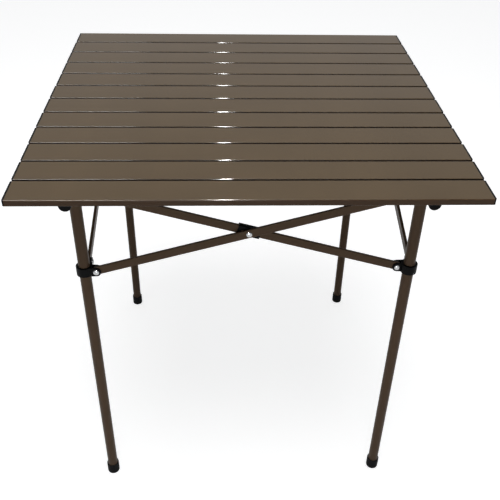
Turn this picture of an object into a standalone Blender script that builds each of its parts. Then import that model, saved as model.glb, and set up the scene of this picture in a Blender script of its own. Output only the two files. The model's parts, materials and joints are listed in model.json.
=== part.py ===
"""Folding camp table with a roll-up slatted top, modelled in metres with +Z up.

Four tube legs stand at the corners of a square. Each side of the square has a pair of crossed bars:
every bar is pinned to a hub fixed on one leg and to a collar that slides on the next leg, so the four
sides fold together. Two rails lie in the hubs' cradles and carry the slats, which are strung on
elastic cords; the level slat stays as it is while the others roll up. Corners and sides are counted
the same way round, seen from above: corner 0 is front left, and side k runs from corner k to corner
k + 1. The frame repeats itself at each quarter turn.
"""

import math

import bmesh
import bpy
from mathutils import Matrix, Vector

# Driving sizes, in metres
TOP_SIDE = 0.700
TOP_HEIGHT = 0.700
SLAT_COUNT = 12
LEVEL_SLAT = 7
SLAT_GAP = 0.0025
SLAT_THICKNESS = 0.010
SLAT_WALL = 0.0012
SLAT_TOP_RADIUS = 0.002
SLAT_BOTTOM_RADIUS = 0.001
PLUG_FLANGE = 0.0018
PLUG_DEPTH = 0.012

LEG_INSET = 0.082
TUBE_RADIUS = 0.0095
TUBE_WALL = 0.0012
FOOT_RADIUS = 0.01125
FOOT_HEIGHT = 0.024
FOOT_FLOOR = 0.004
FOOT_EDGE = 0.002
FOOT_LIP = 0.0005

RAIL_INSET = 0.016
RAIL_CAP_HEAD = 0.003
RAIL_CAP_DEPTH = 0.012
RAIL_CAP_EDGE = 0.001

PIVOT_RISE = 0.1426
BAR_HEIGHT = 0.015
BAR_THICKNESS = 0.005
BAR_EDGE = 0.0012
BAR_OFFSET = 0.004

LUG_REACH = 0.0200
LUG_WALL = 0.003
LUG_RADIUS = 0.0078
RING_RADIUS = 0.0135
COLLAR_BELOW_PIVOT = 0.008
COLLAR_ABOVE_PIVOT = 0.008
HUB_ROOF = 0.004
HUB_SOCKET_DEPTH = 0.0138
HUB_PIVOT_DROP = 0.0095
CRADLE_LENGTH = 0.0236
CRADLE_WALL = 0.0021
CRADLE_ABOVE_RAIL_AXIS = 0.0038

SLEEVE_LENGTH = 0.038
SLEEVE_HEIGHT = 0.0185
SLEEVE_EDGE = 0.001

RIVET_RADIUS = 0.0025
RIVET_HEAD_RADIUS = 0.005
RIVET_HEAD_HEIGHT = 0.0022
RIVET_SHOULDER_RADIUS = 0.00375
RIVET_SHOULDER_HEIGHT = 0.00165

HOOK_INNER = 0.0068
HOOK_OUTER = 0.014
HOOK_LENGTH = 0.026
HOOK_INSET = 0.040

CORD_RADIUS = 0.0018
CORD_INSET = 0.028
KNOT_RADIUS = 0.0034

CLEARANCE = 0.0003
CUT_BEYOND = 0.010

# Angles in degrees: how far below level a hook reaches round its rail, the least corner that an
# edge bevel takes, and the least corner that is shaded sharp
HOOK_WRAP = 12
BEVEL_ANGLE = 50
SHARP_ANGLE = 35

# Facets of a full circle
ROUND_FACETS = 18
SMALL_FACETS = 12
CORD_FACETS = 8

# Facets of a part of a circle
END_FACETS = 6
KNOT_FACETS = 5
SLAT_TOP_FACETS = 3
SLAT_BOTTOM_FACETS = 2

# Worked out from the driving sizes
LEG_SPACING = TOP_SIDE - 2 * LEG_INSET
HALF_SPACING = LEG_SPACING / 2
SLAT_PITCH = (TOP_SIDE + SLAT_GAP) / SLAT_COUNT
SLAT_WIDTH = SLAT_PITCH - SLAT_GAP
SLAT_BOTTOM = TOP_HEIGHT - SLAT_THICKNESS
SLAT_MIDDLE = TOP_HEIGHT - SLAT_THICKNESS / 2
TUBE_BORE = TUBE_RADIUS - TUBE_WALL
TUBE_CLEAR = TUBE_RADIUS + CLEARANCE
RAIL_LENGTH = TOP_SIDE - 2 * RAIL_INSET
RAIL_HEIGHT = SLAT_BOTTOM - CLEARANCE - TUBE_RADIUS
SADDLE_BOTTOM = RAIL_HEIGHT - TUBE_CLEAR
SOCKET_END = SADDLE_BOTTOM - HUB_ROOF
SOCKET_MOUTH = SOCKET_END - HUB_SOCKET_DEPTH
PIVOT_SPAN = LEG_SPACING - 2 * LUG_REACH
BAR_PITCH = math.hypot(PIVOT_SPAN, PIVOT_RISE)
BAR_SLOPE = math.atan2(PIVOT_RISE, PIVOT_SPAN)
UPPER_PIVOT = SADDLE_BOTTOM - HUB_PIVOT_DROP
LOWER_PIVOT = UPPER_PIVOT - PIVOT_RISE
MIDDLE_PIVOT = UPPER_PIVOT - PIVOT_RISE / 2
RIVET_HOLE = RIVET_RADIUS + CLEARANCE
SLOT_WIDTH = BAR_THICKNESS + 2 * CLEARANCE
LUG_WIDTH = SLOT_WIDTH + 2 * LUG_WALL
SLOT_START = LUG_REACH - BAR_HEIGHT / 2 - CLEARANCE
SLEEVE_WALL = 2 * BAR_OFFSET - BAR_THICKNESS - 2 * CLEARANCE
SLEEVE_WIDTH = SLOT_WIDTH + 2 * SLEEVE_WALL
CORD_X = TOP_SIDE / 2 - CORD_INSET

CORNERS = ("front_left", "front_right", "rear_right", "rear_left")
SIDES = ("front", "right", "rear", "left")


def clear_scene():
    for thing in list(bpy.data.objects):
        bpy.data.objects.remove(thing, do_unlink=True)


def linear(channel):
    """Linear value of one sRGB channel given as 0 to 255."""
    value = channel / 255
    return value / 12.92 if value <= 0.04045 else ((value + 0.055) / 1.055) ** 2.4


def make_material(name, colour, roughness, metallic):
    material = bpy.data.materials.new(name)
    material.use_nodes = True
    shader = material.node_tree.nodes["Principled BSDF"]
    shader.inputs["Base Color"].default_value = (*[linear(c) for c in colour], 1.0)
    shader.inputs["Roughness"].default_value = roughness
    shader.inputs["Metallic"].default_value = metallic
    return material


# Solids, each added to a bmesh

def add_prism(bm, outline, low, high, axis):
    """Closed outline pushed along one axis; the outline's pairs are the other two axes in order."""
    def point(u, v, w):
        return {"X": (w, u, v), "Y": (u, w, v), "Z": (u, v, w)}[axis]

    ends = []
    for w in (low, high):
        ends.append([bm.verts.new(point(u, v, w)) for u, v in outline])
    faces = [bm.faces.new(ends[0]), bm.faces.new(ends[1])]
    for i in range(len(outline)):
        j = (i + 1) % len(outline)
        faces.append(bm.faces.new((ends[0][i], ends[0][j], ends[1][j], ends[1][i])))
    bmesh.ops.recalc_face_normals(bm, faces=faces)


def add_box(bm, low, high):
    outline = [(low[0], low[1]), (high[0], low[1]), (high[0], high[1]), (low[0], high[1])]
    add_prism(bm, outline, low[2], high[2], "Z")


def add_cylinder(bm, radius, low, high, axis="Z", centre=(0.0, 0.0), facets=ROUND_FACETS):
    """Round bar along one axis, with its centre given on the other two axes in order."""
    outline = []
    for i in range(facets):
        angle = 2 * math.pi * (i + 0.5) / facets
        outline.append((centre[0] + radius * math.cos(angle), centre[1] + radius * math.sin(angle)))
    add_prism(bm, outline, low, high, axis)


def add_turning(bm, profile, facets):
    """Solid of revolution about Z. The profile's (radius, z) points are joined in a ring where it
    closes on itself, and otherwise start and end on the axis."""
    start = len(bm.verts)
    verts = [bm.verts.new((r, 0.0, z)) for r, z in profile]
    edges = [bm.edges.new(pair) for pair in zip(verts, verts[1:])]
    if profile[0][0] > 0.0:
        edges.append(bm.edges.new((verts[-1], verts[0])))
    half_facet = Matrix.Rotation(math.pi / facets, 3, "Z")
    bmesh.ops.rotate(bm, verts=verts, cent=(0, 0, 0), matrix=half_facet)
    bmesh.ops.spin(bm, geom=verts + edges, cent=(0, 0, 0), axis=(0, 0, 1),
                   angle=2 * math.pi, steps=facets, use_merge=True)
    bm.verts.ensure_lookup_table()
    turned = list(bm.verts[start:])
    bmesh.ops.remove_doubles(bm, verts=turned, dist=0.00001)
    bm.verts.ensure_lookup_table()
    faces = {face for vert in bm.verts[start:] for face in vert.link_faces}
    bmesh.ops.recalc_face_normals(bm, faces=list(faces))


def arc(centre, radius, start, end, steps):
    """Points round an arc, with its angles in degrees."""
    points = []
    for i in range(steps + 1):
        angle = math.radians(start + (end - start) * i / steps)
        points.append((centre[0] + radius * math.cos(angle), centre[1] + radius * math.sin(angle)))
    return points


def built(fill, *arguments):
    """New bmesh filled by one function."""
    bm = bmesh.new()
    fill(bm, *arguments)
    return bm


def to_mesh(name, bm):
    mesh = bpy.data.meshes.new(name)
    bm.to_mesh(mesh)
    bm.free()
    return mesh


def combine(name, body, steps, edge=0.0):
    """Mesh of a body after Boolean steps, each an operation and a bmesh, and an edge bevel before."""
    base = bpy.data.objects.new(name, to_mesh(name, body))
    bpy.context.scene.collection.objects.link(base)
    helpers = []
    if edge > 0.0:
        bevel = base.modifiers.new("edge", "BEVEL")
        bevel.width = edge
        bevel.segments = 1
        bevel.limit_method = "ANGLE"
        bevel.angle_limit = math.radians(BEVEL_ANGLE)
    for operation, bm in steps:
        helper = bpy.data.objects.new(name + "_tool", to_mesh(name + "_tool", bm))
        helper.hide_render = True
        helper.display_type = "WIRE"
        bpy.context.scene.collection.objects.link(helper)
        boolean = base.modifiers.new(operation.lower(), "BOOLEAN")
        boolean.operation = operation
        boolean.solver = "EXACT"
        boolean.object = helper
        helpers.append(helper)
    evaluated = base.evaluated_get(bpy.context.evaluated_depsgraph_get())
    mesh = bpy.data.meshes.new_from_object(evaluated)
    mesh.name = name
    for thing in [base] + helpers:
        bpy.data.objects.remove(thing, do_unlink=True)
    return mesh


# Placing

def joint_empty(name, position):
    empty = bpy.data.objects.new(name, None)
    empty.location = position
    bpy.context.scene.collection.objects.link(empty)
    return empty


def place(name, mesh, material, position, turn, body):
    """One named piece, at a world position and with a rotation matrix, carried by its body's empty."""
    thing = bpy.data.objects.new(name, mesh)
    bpy.context.scene.collection.objects.link(thing)
    if not mesh.materials:
        mesh.materials.append(material)
    mesh.shade_smooth()
    mesh.set_sharp_from_angle(angle=math.radians(SHARP_ANGLE))
    thing.rotation_euler = turn.to_euler()
    thing.location = Vector(position)
    if body is not None:
        thing.parent = body
        thing.location = Vector(position) - body.location
    return thing


def quarter(k):
    return Matrix.Rotation(math.radians(90 * k), 3, "Z")


def corner_point(k, x, y, z):
    """World place of a point given from corner k's leg axis, with X along side k."""
    corner = Vector((-HALF_SPACING, -HALF_SPACING, 0.0))
    return quarter(k) @ (corner + Vector((x, y, 0.0))) + Vector((0.0, 0.0, z))


def next_pivot(k, plane, height):
    """Pin of the side that starts at corner k; plane is +1 for inner bars and -1 for outer ones."""
    return corner_point(k, LUG_REACH, plane * BAR_OFFSET, height)


def previous_pivot(k, plane, height):
    """Pin of the side that ends at corner k."""
    return corner_point(k, plane * BAR_OFFSET, LUG_REACH, height)


def side_middle(k, plane):
    return corner_point(k, HALF_SPACING, plane * BAR_OFFSET, MIDDLE_PIVOT)


# Meshes of the frame, each about its own origin

def leg_mesh():
    low = FOOT_FLOOR + CLEARANCE
    high = SOCKET_END - CLEARANCE
    ring = [(TUBE_BORE, low), (TUBE_RADIUS, low), (TUBE_RADIUS, high), (TUBE_BORE, high)]
    return to_mesh("leg", built(add_turning, ring, ROUND_FACETS))


def foot_mesh():
    profile = [(0.0, 0.0), (FOOT_RADIUS - FOOT_EDGE, 0.0), (FOOT_RADIUS, FOOT_EDGE)]
    profile += [(FOOT_RADIUS, FOOT_HEIGHT - FOOT_LIP), (FOOT_RADIUS - FOOT_LIP, FOOT_HEIGHT)]
    profile += [(TUBE_CLEAR, FOOT_HEIGHT), (TUBE_CLEAR, FOOT_FLOOR), (0.0, FOOT_FLOOR)]
    return to_mesh("foot", built(add_turning, profile, ROUND_FACETS))


def lug_outline(ring_low, ring_high):
    """Side view of one lug from the leg axis out past its pin, which is at height 0."""
    lower = min(0.0, ring_low + LUG_RADIUS)
    upper = max(0.0, ring_high - LUG_RADIUS)
    outline = [(0.0, lower - LUG_RADIUS), (RING_RADIUS, lower - LUG_RADIUS)]
    outline += arc((LUG_REACH, 0.0), LUG_RADIUS, -90, 90, END_FACETS)
    outline += [(RING_RADIUS, upper + LUG_RADIUS), (0.0, upper + LUG_RADIUS)]
    return outline


def add_next_lug(bm, plane, outline):
    """Solid lug along +X, centred on its bar's plane."""
    middle = plane * BAR_OFFSET
    add_prism(bm, outline, middle - LUG_WIDTH / 2, middle + LUG_WIDTH / 2, "Y")


def add_previous_lug(bm, plane, outline):
    """Solid lug along +Y, centred on its bar's plane."""
    middle = plane * BAR_OFFSET
    add_prism(bm, outline, middle - LUG_WIDTH / 2, middle + LUG_WIDTH / 2, "X")


def add_slots(bm, next_plane, previous_plane):
    """Slots that the two bars' ends turn in."""
    reach = LUG_REACH + LUG_RADIUS + CUT_BEYOND
    tall = HUB_PIVOT_DROP + CUT_BEYOND
    y = next_plane * BAR_OFFSET
    add_box(bm, (SLOT_START, y - SLOT_WIDTH / 2, -tall), (reach, y + SLOT_WIDTH / 2, tall))
    x = previous_plane * BAR_OFFSET
    add_box(bm, (x - SLOT_WIDTH / 2, SLOT_START, -tall), (x + SLOT_WIDTH / 2, reach, tall))


def add_pin_holes(bm, next_plane, previous_plane):
    y = next_plane * BAR_OFFSET
    x = previous_plane * BAR_OFFSET
    half = LUG_WIDTH
    add_cylinder(bm, RIVET_HOLE, y - half, y + half, "Y", (LUG_REACH, 0.0), SMALL_FACETS)
    add_cylinder(bm, RIVET_HOLE, x - half, x + half, "X", (LUG_REACH, 0.0), SMALL_FACETS)


def collar_mesh():
    """Sliding collar about its pins' height: outer bar along +X, inner bar along +Y."""
    low, high = -COLLAR_BELOW_PIVOT, COLLAR_ABOVE_PIVOT
    outline = lug_outline(low, high)
    steps = [
        ("UNION", built(add_next_lug, -1, outline)),
        ("UNION", built(add_previous_lug, 1, outline)),
        ("DIFFERENCE", built(add_cylinder, TUBE_CLEAR, low - CUT_BEYOND, high + CUT_BEYOND)),
        ("DIFFERENCE", built(add_slots, -1, 1)),
        ("DIFFERENCE", built(add_pin_holes, -1, 1)),
    ]
    return combine("collar", built(add_cylinder, RING_RADIUS, low, high), steps)


def hub_mesh(rail_axis):
    """Fixed hub and its rivets, about their height: leg socket below, cradle for the rail above."""
    mouth = SOCKET_MOUTH - UPPER_PIVOT
    roof = SOCKET_END - UPPER_PIVOT
    saddle = SADDLE_BOTTOM - UPPER_PIVOT
    rail = RAIL_HEIGHT - UPPER_PIVOT
    top = rail + CRADLE_ABOVE_RAIL_AXIS
    outline = lug_outline(mouth, saddle)
    half_wide = TUBE_CLEAR + CRADLE_WALL
    half_long = CRADLE_LENGTH / 2
    across, along = (half_wide, half_long) if rail_axis == "Y" else (half_long, half_wide)
    half_facet = 180 / ROUND_FACETS
    channel = arc((0.0, rail), TUBE_CLEAR, 180 + half_facet, 360 - half_facet, ROUND_FACETS // 2 - 1)
    above = top + CUT_BEYOND
    channel = [(channel[0][0], above)] + channel + [(channel[-1][0], above)]
    steps = [
        ("UNION", built(add_next_lug, 1, outline)),
        ("UNION", built(add_previous_lug, -1, outline)),
        ("UNION", built(add_box, (-across, -along, roof), (across, along, top))),
        ("DIFFERENCE", built(add_cylinder, TUBE_CLEAR, mouth - CUT_BEYOND, roof)),
        ("DIFFERENCE", built(add_prism, channel, -CRADLE_LENGTH, CRADLE_LENGTH, rail_axis)),
        ("DIFFERENCE", built(add_slots, 1, -1)),
        ("UNION", built(add_hub_rivets)),
    ]
    return combine("hub", built(add_cylinder, RING_RADIUS, mouth, saddle), steps)


def bar_mesh():
    """Flat bar along X about its middle hole, with round ends and eased edges."""
    radius = BAR_HEIGHT / 2
    outline = arc((BAR_PITCH / 2, 0.0), radius, -90, 90, END_FACETS)
    outline += arc((-BAR_PITCH / 2, 0.0), radius, 90, 270, END_FACETS)
    body = built(add_prism, outline, -BAR_THICKNESS / 2, BAR_THICKNESS / 2, "Y")
    holes = bmesh.new()
    for x in (-BAR_PITCH / 2, 0.0, BAR_PITCH / 2):
        add_cylinder(holes, RIVET_HOLE, -BAR_THICKNESS, BAR_THICKNESS, "Y", (x, 0.0), SMALL_FACETS)
    return combine("bar", body, [("DIFFERENCE", holes)], BAR_EDGE)


def sleeve_mesh():
    """Plastic sleeve slid over the inner bar's middle."""
    half = Vector((SLEEVE_LENGTH, SLEEVE_WIDTH, SLEEVE_HEIGHT)) / 2
    body = built(add_box, -half, half)
    bore_y = SLOT_WIDTH / 2
    bore_z = BAR_HEIGHT / 2 + CLEARANCE
    bore = built(add_box, (-SLEEVE_LENGTH, -bore_y, -bore_z), (SLEEVE_LENGTH, bore_y, bore_z))
    hole = built(add_cylinder, RIVET_HOLE, -SLEEVE_WIDTH, SLEEVE_WIDTH, "Y", (0.0, 0.0), SMALL_FACETS)
    return combine("sleeve", body, [("DIFFERENCE", bore), ("DIFFERENCE", hole)], SLEEVE_EDGE)


def add_rivet(bm, low, high, turn):
    """Rivet along a turned Z axis whose two domed heads start at low and high."""
    head = [(RIVET_HEAD_RADIUS, 0.0), (RIVET_SHOULDER_RADIUS, RIVET_SHOULDER_HEIGHT)]
    head.append((0.0, RIVET_HEAD_HEIGHT))
    profile = [(r, low - rise) for r, rise in reversed(head)]
    profile += [(RIVET_RADIUS, low), (RIVET_RADIUS, high)]
    profile += [(r, high + rise) for r, rise in head]
    rivet = built(add_turning, profile, SMALL_FACETS)
    rivet.transform(turn)
    mesh = to_mesh("rivet", rivet)
    bm.from_mesh(mesh)
    bpy.data.meshes.remove(mesh)


def collar_rivet_mesh():
    """Rivet through a collar's lug, along Y about its bar's plane."""
    half = LUG_WIDTH / 2 + CLEARANCE
    turn = Matrix.Rotation(math.radians(-90), 4, "X")
    return to_mesh("collar_rivet", built(add_rivet, -half, half, turn))


def add_hub_rivets(bm):
    """The hub's two rivets, set tight in its lugs and sunk a little way into their faces."""
    half = LUG_WIDTH / 2 - CLEARANCE
    along_y = Matrix.Translation((LUG_REACH, 0.0, 0.0)) @ Matrix.Rotation(math.radians(-90), 4, "X")
    add_rivet(bm, BAR_OFFSET - half, BAR_OFFSET + half, along_y)
    along_x = Matrix.Translation((0.0, LUG_REACH, 0.0)) @ Matrix.Rotation(math.radians(90), 4, "Y")
    add_rivet(bm, -BAR_OFFSET - half, -BAR_OFFSET + half, along_x)


def crossing_rivet_mesh():
    """Rivet through both bars and the sleeve, about the inner bar's middle."""
    bm = bmesh.new()
    outer_face = -2 * BAR_OFFSET - BAR_THICKNESS / 2 - CLEARANCE
    inner_face = SLEEVE_WIDTH / 2 + CLEARANCE
    add_rivet(bm, outer_face, inner_face, Matrix.Rotation(math.radians(-90), 4, "X"))
    return to_mesh("crossing_rivet", bm)


# Meshes of the top

def rail_mesh():
    half = RAIL_LENGTH / 2 - RAIL_CAP_HEAD - CLEARANCE
    ring = [(TUBE_BORE, -half), (TUBE_RADIUS, -half), (TUBE_RADIUS, half), (TUBE_BORE, half)]
    bm = built(add_turning, ring, ROUND_FACETS)
    bm.transform(Matrix.Rotation(math.radians(-90), 4, "X"))
    return to_mesh("rail", bm)


def rail_cap_mesh():
    """End cap of a rail, facing +Y about the rail's middle."""
    end = RAIL_LENGTH / 2
    face = end - RAIL_CAP_HEAD
    plug = TUBE_BORE - CLEARANCE
    profile = [(0.0, face - RAIL_CAP_DEPTH), (plug, face - RAIL_CAP_DEPTH), (plug, face)]
    profile += [(TUBE_RADIUS, face), (TUBE_RADIUS, end - RAIL_CAP_EDGE)]
    profile += [(TUBE_RADIUS - RAIL_CAP_EDGE, end), (0.0, end)]
    bm = built(add_turning, profile, ROUND_FACETS)
    bm.transform(Matrix.Rotation(math.radians(-90), 4, "X"))
    return to_mesh("rail_cap", bm)


def slat_outline():
    """Cross-section of a slat in (y, z) about its own middle."""
    y = SLAT_WIDTH / 2
    z = SLAT_THICKNESS / 2
    top = SLAT_TOP_RADIUS
    bottom = SLAT_BOTTOM_RADIUS
    outline = arc((-y + top, z - top), top, 180, 90, SLAT_TOP_FACETS)
    outline += arc((y - top, z - top), top, 90, 0, SLAT_TOP_FACETS)
    outline += arc((y - bottom, -z + bottom), bottom, 0, -90, SLAT_BOTTOM_FACETS)
    outline += arc((-y + bottom, -z + bottom), bottom, -90, -180, SLAT_BOTTOM_FACETS)
    return outline


def add_slat_bore(bm, half_length):
    y = SLAT_WIDTH / 2 - SLAT_WALL
    z = SLAT_THICKNESS / 2 - SLAT_WALL
    add_box(bm, (-half_length, -y, -z), (half_length, y, z))


def add_cord_holes(bm, front, rear):
    """Holes for the cords through a slat's front wall, rear wall or both."""
    for x in (-CORD_X, CORD_X):
        low = -SLAT_WIDTH if front else 0.0
        high = SLAT_WIDTH if rear else 0.0
        add_cylinder(bm, CORD_RADIUS + CLEARANCE, low, high, "Y", (x, 0.0), CORD_FACETS)


def add_flanges(bm):
    """Flanges of the plugs in a slat's ends."""
    end = TOP_SIDE / 2
    for side in (-1, 1):
        low, high = sorted((side * (end - PLUG_FLANGE), side * end))
        add_prism(bm, slat_outline(), low, high, "X")


def add_plug_bodies(bm):
    """The parts of the plugs that sit inside a slat and close its bore."""
    end = TOP_SIDE / 2 - PLUG_FLANGE / 2
    y = SLAT_WIDTH / 2 - SLAT_WALL / 2
    z = SLAT_THICKNESS / 2 - SLAT_WALL / 2
    for side in (-1, 1):
        low, high = sorted((side * (end - PLUG_DEPTH), side * end))
        add_box(bm, (low, -y, -z), (high, y, z))


def add_hooks(bm, y):
    """Two hooks under an end slat, which wrap the outer shoulders of the rails."""
    rail = RAIL_HEIGHT - SLAT_MIDDLE
    root = (SLAT_WALL - SLAT_THICKNESS) / 2
    start = math.degrees(math.acos(HOOK_INNER / TUBE_CLEAR))
    outline = [(HOOK_INNER, root)] + arc((0.0, rail), TUBE_CLEAR, start, -HOOK_WRAP, END_FACETS)
    outline += [(HOOK_OUTER, outline[-1][1]), (HOOK_OUTER, root)]
    half = HOOK_LENGTH / 2
    for side in (-1, 1):
        points = [(side * (HALF_SPACING + u), v) for u, v in outline]
        add_prism(bm, points, y - half, y + half, "Y")


def slat_mesh(front, rear):
    """Hollow slat closed by its end plugs, about its own middle. Cords pass its inner walls, and
    the first and last slats carry the hooks."""
    half = TOP_SIDE / 2 - PLUG_FLANGE
    steps = [
        ("DIFFERENCE", built(add_slat_bore, 2 * half)),
        ("UNION", built(add_flanges)),
        ("UNION", built(add_plug_bodies)),
        ("DIFFERENCE", built(add_cord_holes, front, rear)),
    ]
    if not front or not rear:
        edge = SLAT_WIDTH / 2 - HOOK_INSET
        steps.append(("UNION", built(add_hooks, -edge if rear else edge)))
    return combine("slat", built(add_prism, slat_outline(), -half, half, "X"), steps)


def cord_mesh():
    """Straight elastic cord with a knot inside the first and last slat."""
    reach = (SLAT_COUNT - 1) * SLAT_PITCH / 2
    start = 180 - math.degrees(math.asin(CORD_RADIUS / KNOT_RADIUS))
    knot = [(v, u) for u, v in arc((reach, 0.0), KNOT_RADIUS, start, 0, KNOT_FACETS)]
    knot[-1] = (0.0, knot[-1][1])
    profile = [(r, -z) for r, z in reversed(knot)] + knot
    bm = built(add_turning, profile, CORD_FACETS)
    bm.transform(Matrix.Rotation(math.radians(-90), 4, "X"))
    return to_mesh("cord", bm)


def build_bodies():
    """One empty on each moving body's joint axis, in the order that the frame hangs together."""
    up, low = UPPER_PIVOT, LOWER_PIVOT
    places = {
        "bar_left_inner": next_pivot(3, 1, up),
        "bar_left_outer": side_middle(3, -1),
        "leg_front_left": previous_pivot(0, -1, up),
        "collar_front_left": previous_pivot(0, 1, low),
        "collar_rear_left": next_pivot(3, -1, low),
        "bar_rear_outer": previous_pivot(3, -1, up),
        "bar_rear_inner": side_middle(2, 1),
        "leg_rear_right": next_pivot(2, 1, up),
        "collar_rear_right": next_pivot(2, -1, low),
        "bar_front_inner": next_pivot(0, 1, up),
        "bar_front_outer": side_middle(0, -1),
        "leg_front_right": previous_pivot(1, -1, up),
        "collar_front_right": previous_pivot(1, 1, low),
        "bar_right_outer": previous_pivot(2, -1, up),
        "bar_right_inner": side_middle(1, 1),
    }
    bodies = {name: joint_empty("joint_" + name, position) for name, position in places.items()}
    bodies["leg_rear_left"] = None
    return bodies


def build_corners(bodies, painted, plastic, rubber, steel):
    leg = leg_mesh()
    foot = foot_mesh()
    collar = collar_mesh()
    hubs = {"Y": hub_mesh("Y"), "X": hub_mesh("X")}
    rivet = collar_rivet_mesh()
    for k, corner in enumerate(CORNERS):
        turn = quarter(k)
        leg_body = bodies["leg_" + corner]
        collar_body = bodies["collar_" + corner]
        ground = corner_point(k, 0.0, 0.0, 0.0)
        upper = corner_point(k, 0.0, 0.0, UPPER_PIVOT)
        lower = corner_point(k, 0.0, 0.0, LOWER_PIVOT)
        hub = hubs["Y" if k % 2 == 0 else "X"]
        place("leg_" + corner, leg, painted, ground, turn, leg_body)
        place("foot_" + corner, foot, rubber, ground, turn, leg_body)
        place("hub_" + corner, hub, plastic, upper, turn, leg_body)
        place("collar_" + corner, collar, plastic, lower, turn, collar_body)
        outer_pin = next_pivot(k, -1, LOWER_PIVOT)
        inner_pin = previous_pivot(k, 1, LOWER_PIVOT)
        inner_turn = quarter(k + 1)
        place("collar_rivet_%s_a" % corner, rivet, steel, outer_pin, turn, collar_body)
        place("collar_rivet_%s_b" % corner, rivet, steel, inner_pin, inner_turn, collar_body)


def build_sides(bodies, painted, plastic, steel):
    bar = bar_mesh()
    sleeve = sleeve_mesh()
    rivet = crossing_rivet_mesh()
    for k, side in enumerate(SIDES):
        rising = quarter(k) @ Matrix.Rotation(-BAR_SLOPE, 3, "Y")
        falling = quarter(k) @ Matrix.Rotation(BAR_SLOPE, 3, "Y")
        outer = side_middle(k, -1)
        inner = side_middle(k, 1)
        place("bar_%s_outer" % side, bar, painted, outer, rising, bodies["bar_%s_outer" % side])
        inner_body = bodies["bar_%s_inner" % side]
        place("bar_%s_inner" % side, bar, painted, inner, falling, inner_body)
        place("crossing_sleeve_" + side, sleeve, plastic, inner, falling, inner_body)
        place("crossing_rivet_" + side, rivet, steel, inner, falling, inner_body)


def build_top(painted, plastic, elastic):
    level = Matrix.Identity(3)
    rail = rail_mesh()
    cap = rail_cap_mesh()
    for name, side in (("left", -1), ("right", 1)):
        axis = (side * HALF_SPACING, 0.0, RAIL_HEIGHT)
        body = joint_empty("joint_rail_" + name, axis)
        place("rail_" + name, rail, painted, axis, level, body)
        place("rail_cap_rear_" + name, cap, plastic, axis, level, body)
        place("rail_cap_front_" + name, cap, plastic, axis, quarter(2), body)
    first = slat_mesh(False, True)
    inner = slat_mesh(True, True)
    last = slat_mesh(True, False)
    for i in range(SLAT_COUNT):
        y = (i - (SLAT_COUNT - 1) / 2) * SLAT_PITCH
        name = "slat_%02d" % (i + 1)
        hinge_side = (i + 1 < LEVEL_SLAT) - (i + 1 > LEVEL_SLAT)
        hinge_y = y + hinge_side * SLAT_PITCH / 2
        body = joint_empty("joint_" + name, (0.0, hinge_y, TOP_HEIGHT))
        if hinge_side == 0:
            level_body = body
        mesh = first if i == 0 else last if i == SLAT_COUNT - 1 else inner
        place(name, mesh, painted, (0.0, y, SLAT_MIDDLE), level, body)
    cord = cord_mesh()
    for name, side in (("left", -1), ("right", 1)):
        middle = (side * CORD_X, 0.0, SLAT_MIDDLE)
        place("elastic_cord_" + name, cord, elastic, middle, level, level_body)


def main():
    clear_scene()
    painted = make_material("bronze_painted_aluminium", (88, 76, 62), 0.34, 0.35)
    plastic = make_material("black_plastic", (26, 25, 26), 0.42, 0.0)
    rubber = make_material("black_rubber", (24, 24, 25), 0.6, 0.0)
    steel = make_material("bright_rivet_metal", (205, 205, 205), 0.22, 1.0)
    elastic = make_material("black_elastic_cord", (30, 30, 32), 0.8, 0.0)
    bodies = build_bodies()
    build_corners(bodies, painted, plastic, rubber, steel)
    build_sides(bodies, painted, plastic, steel)
    build_top(painted, plastic, elastic)


main()
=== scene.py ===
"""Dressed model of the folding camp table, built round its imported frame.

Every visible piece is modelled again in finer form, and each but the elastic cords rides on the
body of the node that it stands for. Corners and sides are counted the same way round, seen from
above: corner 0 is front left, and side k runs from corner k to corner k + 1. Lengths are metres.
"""

import json
import math
import random

import bmesh
import bpy
from mathutils import Matrix, Vector


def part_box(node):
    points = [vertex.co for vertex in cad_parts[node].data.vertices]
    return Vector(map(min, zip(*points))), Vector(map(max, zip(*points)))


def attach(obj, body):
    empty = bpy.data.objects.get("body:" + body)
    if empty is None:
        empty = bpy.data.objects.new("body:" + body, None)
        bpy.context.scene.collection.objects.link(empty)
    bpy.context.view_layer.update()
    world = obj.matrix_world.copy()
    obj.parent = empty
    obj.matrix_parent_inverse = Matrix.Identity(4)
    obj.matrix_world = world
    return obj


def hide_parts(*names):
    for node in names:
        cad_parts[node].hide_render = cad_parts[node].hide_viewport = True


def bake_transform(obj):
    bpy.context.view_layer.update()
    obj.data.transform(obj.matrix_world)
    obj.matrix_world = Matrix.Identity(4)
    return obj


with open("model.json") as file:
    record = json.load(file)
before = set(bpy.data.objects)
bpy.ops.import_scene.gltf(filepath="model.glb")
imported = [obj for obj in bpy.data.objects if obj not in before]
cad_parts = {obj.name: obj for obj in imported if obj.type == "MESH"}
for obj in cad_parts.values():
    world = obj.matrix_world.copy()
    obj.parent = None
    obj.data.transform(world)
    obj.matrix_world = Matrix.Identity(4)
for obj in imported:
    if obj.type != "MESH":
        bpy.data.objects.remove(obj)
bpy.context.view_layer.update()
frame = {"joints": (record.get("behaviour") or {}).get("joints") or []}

CORNERS = ("front_left", "front_right", "rear_right", "rear_left")
SIDES = ("front", "right", "rear", "left")
SLAT_COUNT = 12

# Planes of a side's crossed bars: nearer to the table's middle than the legs' axes, and further
INNER, OUTER = 1, -1

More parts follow.
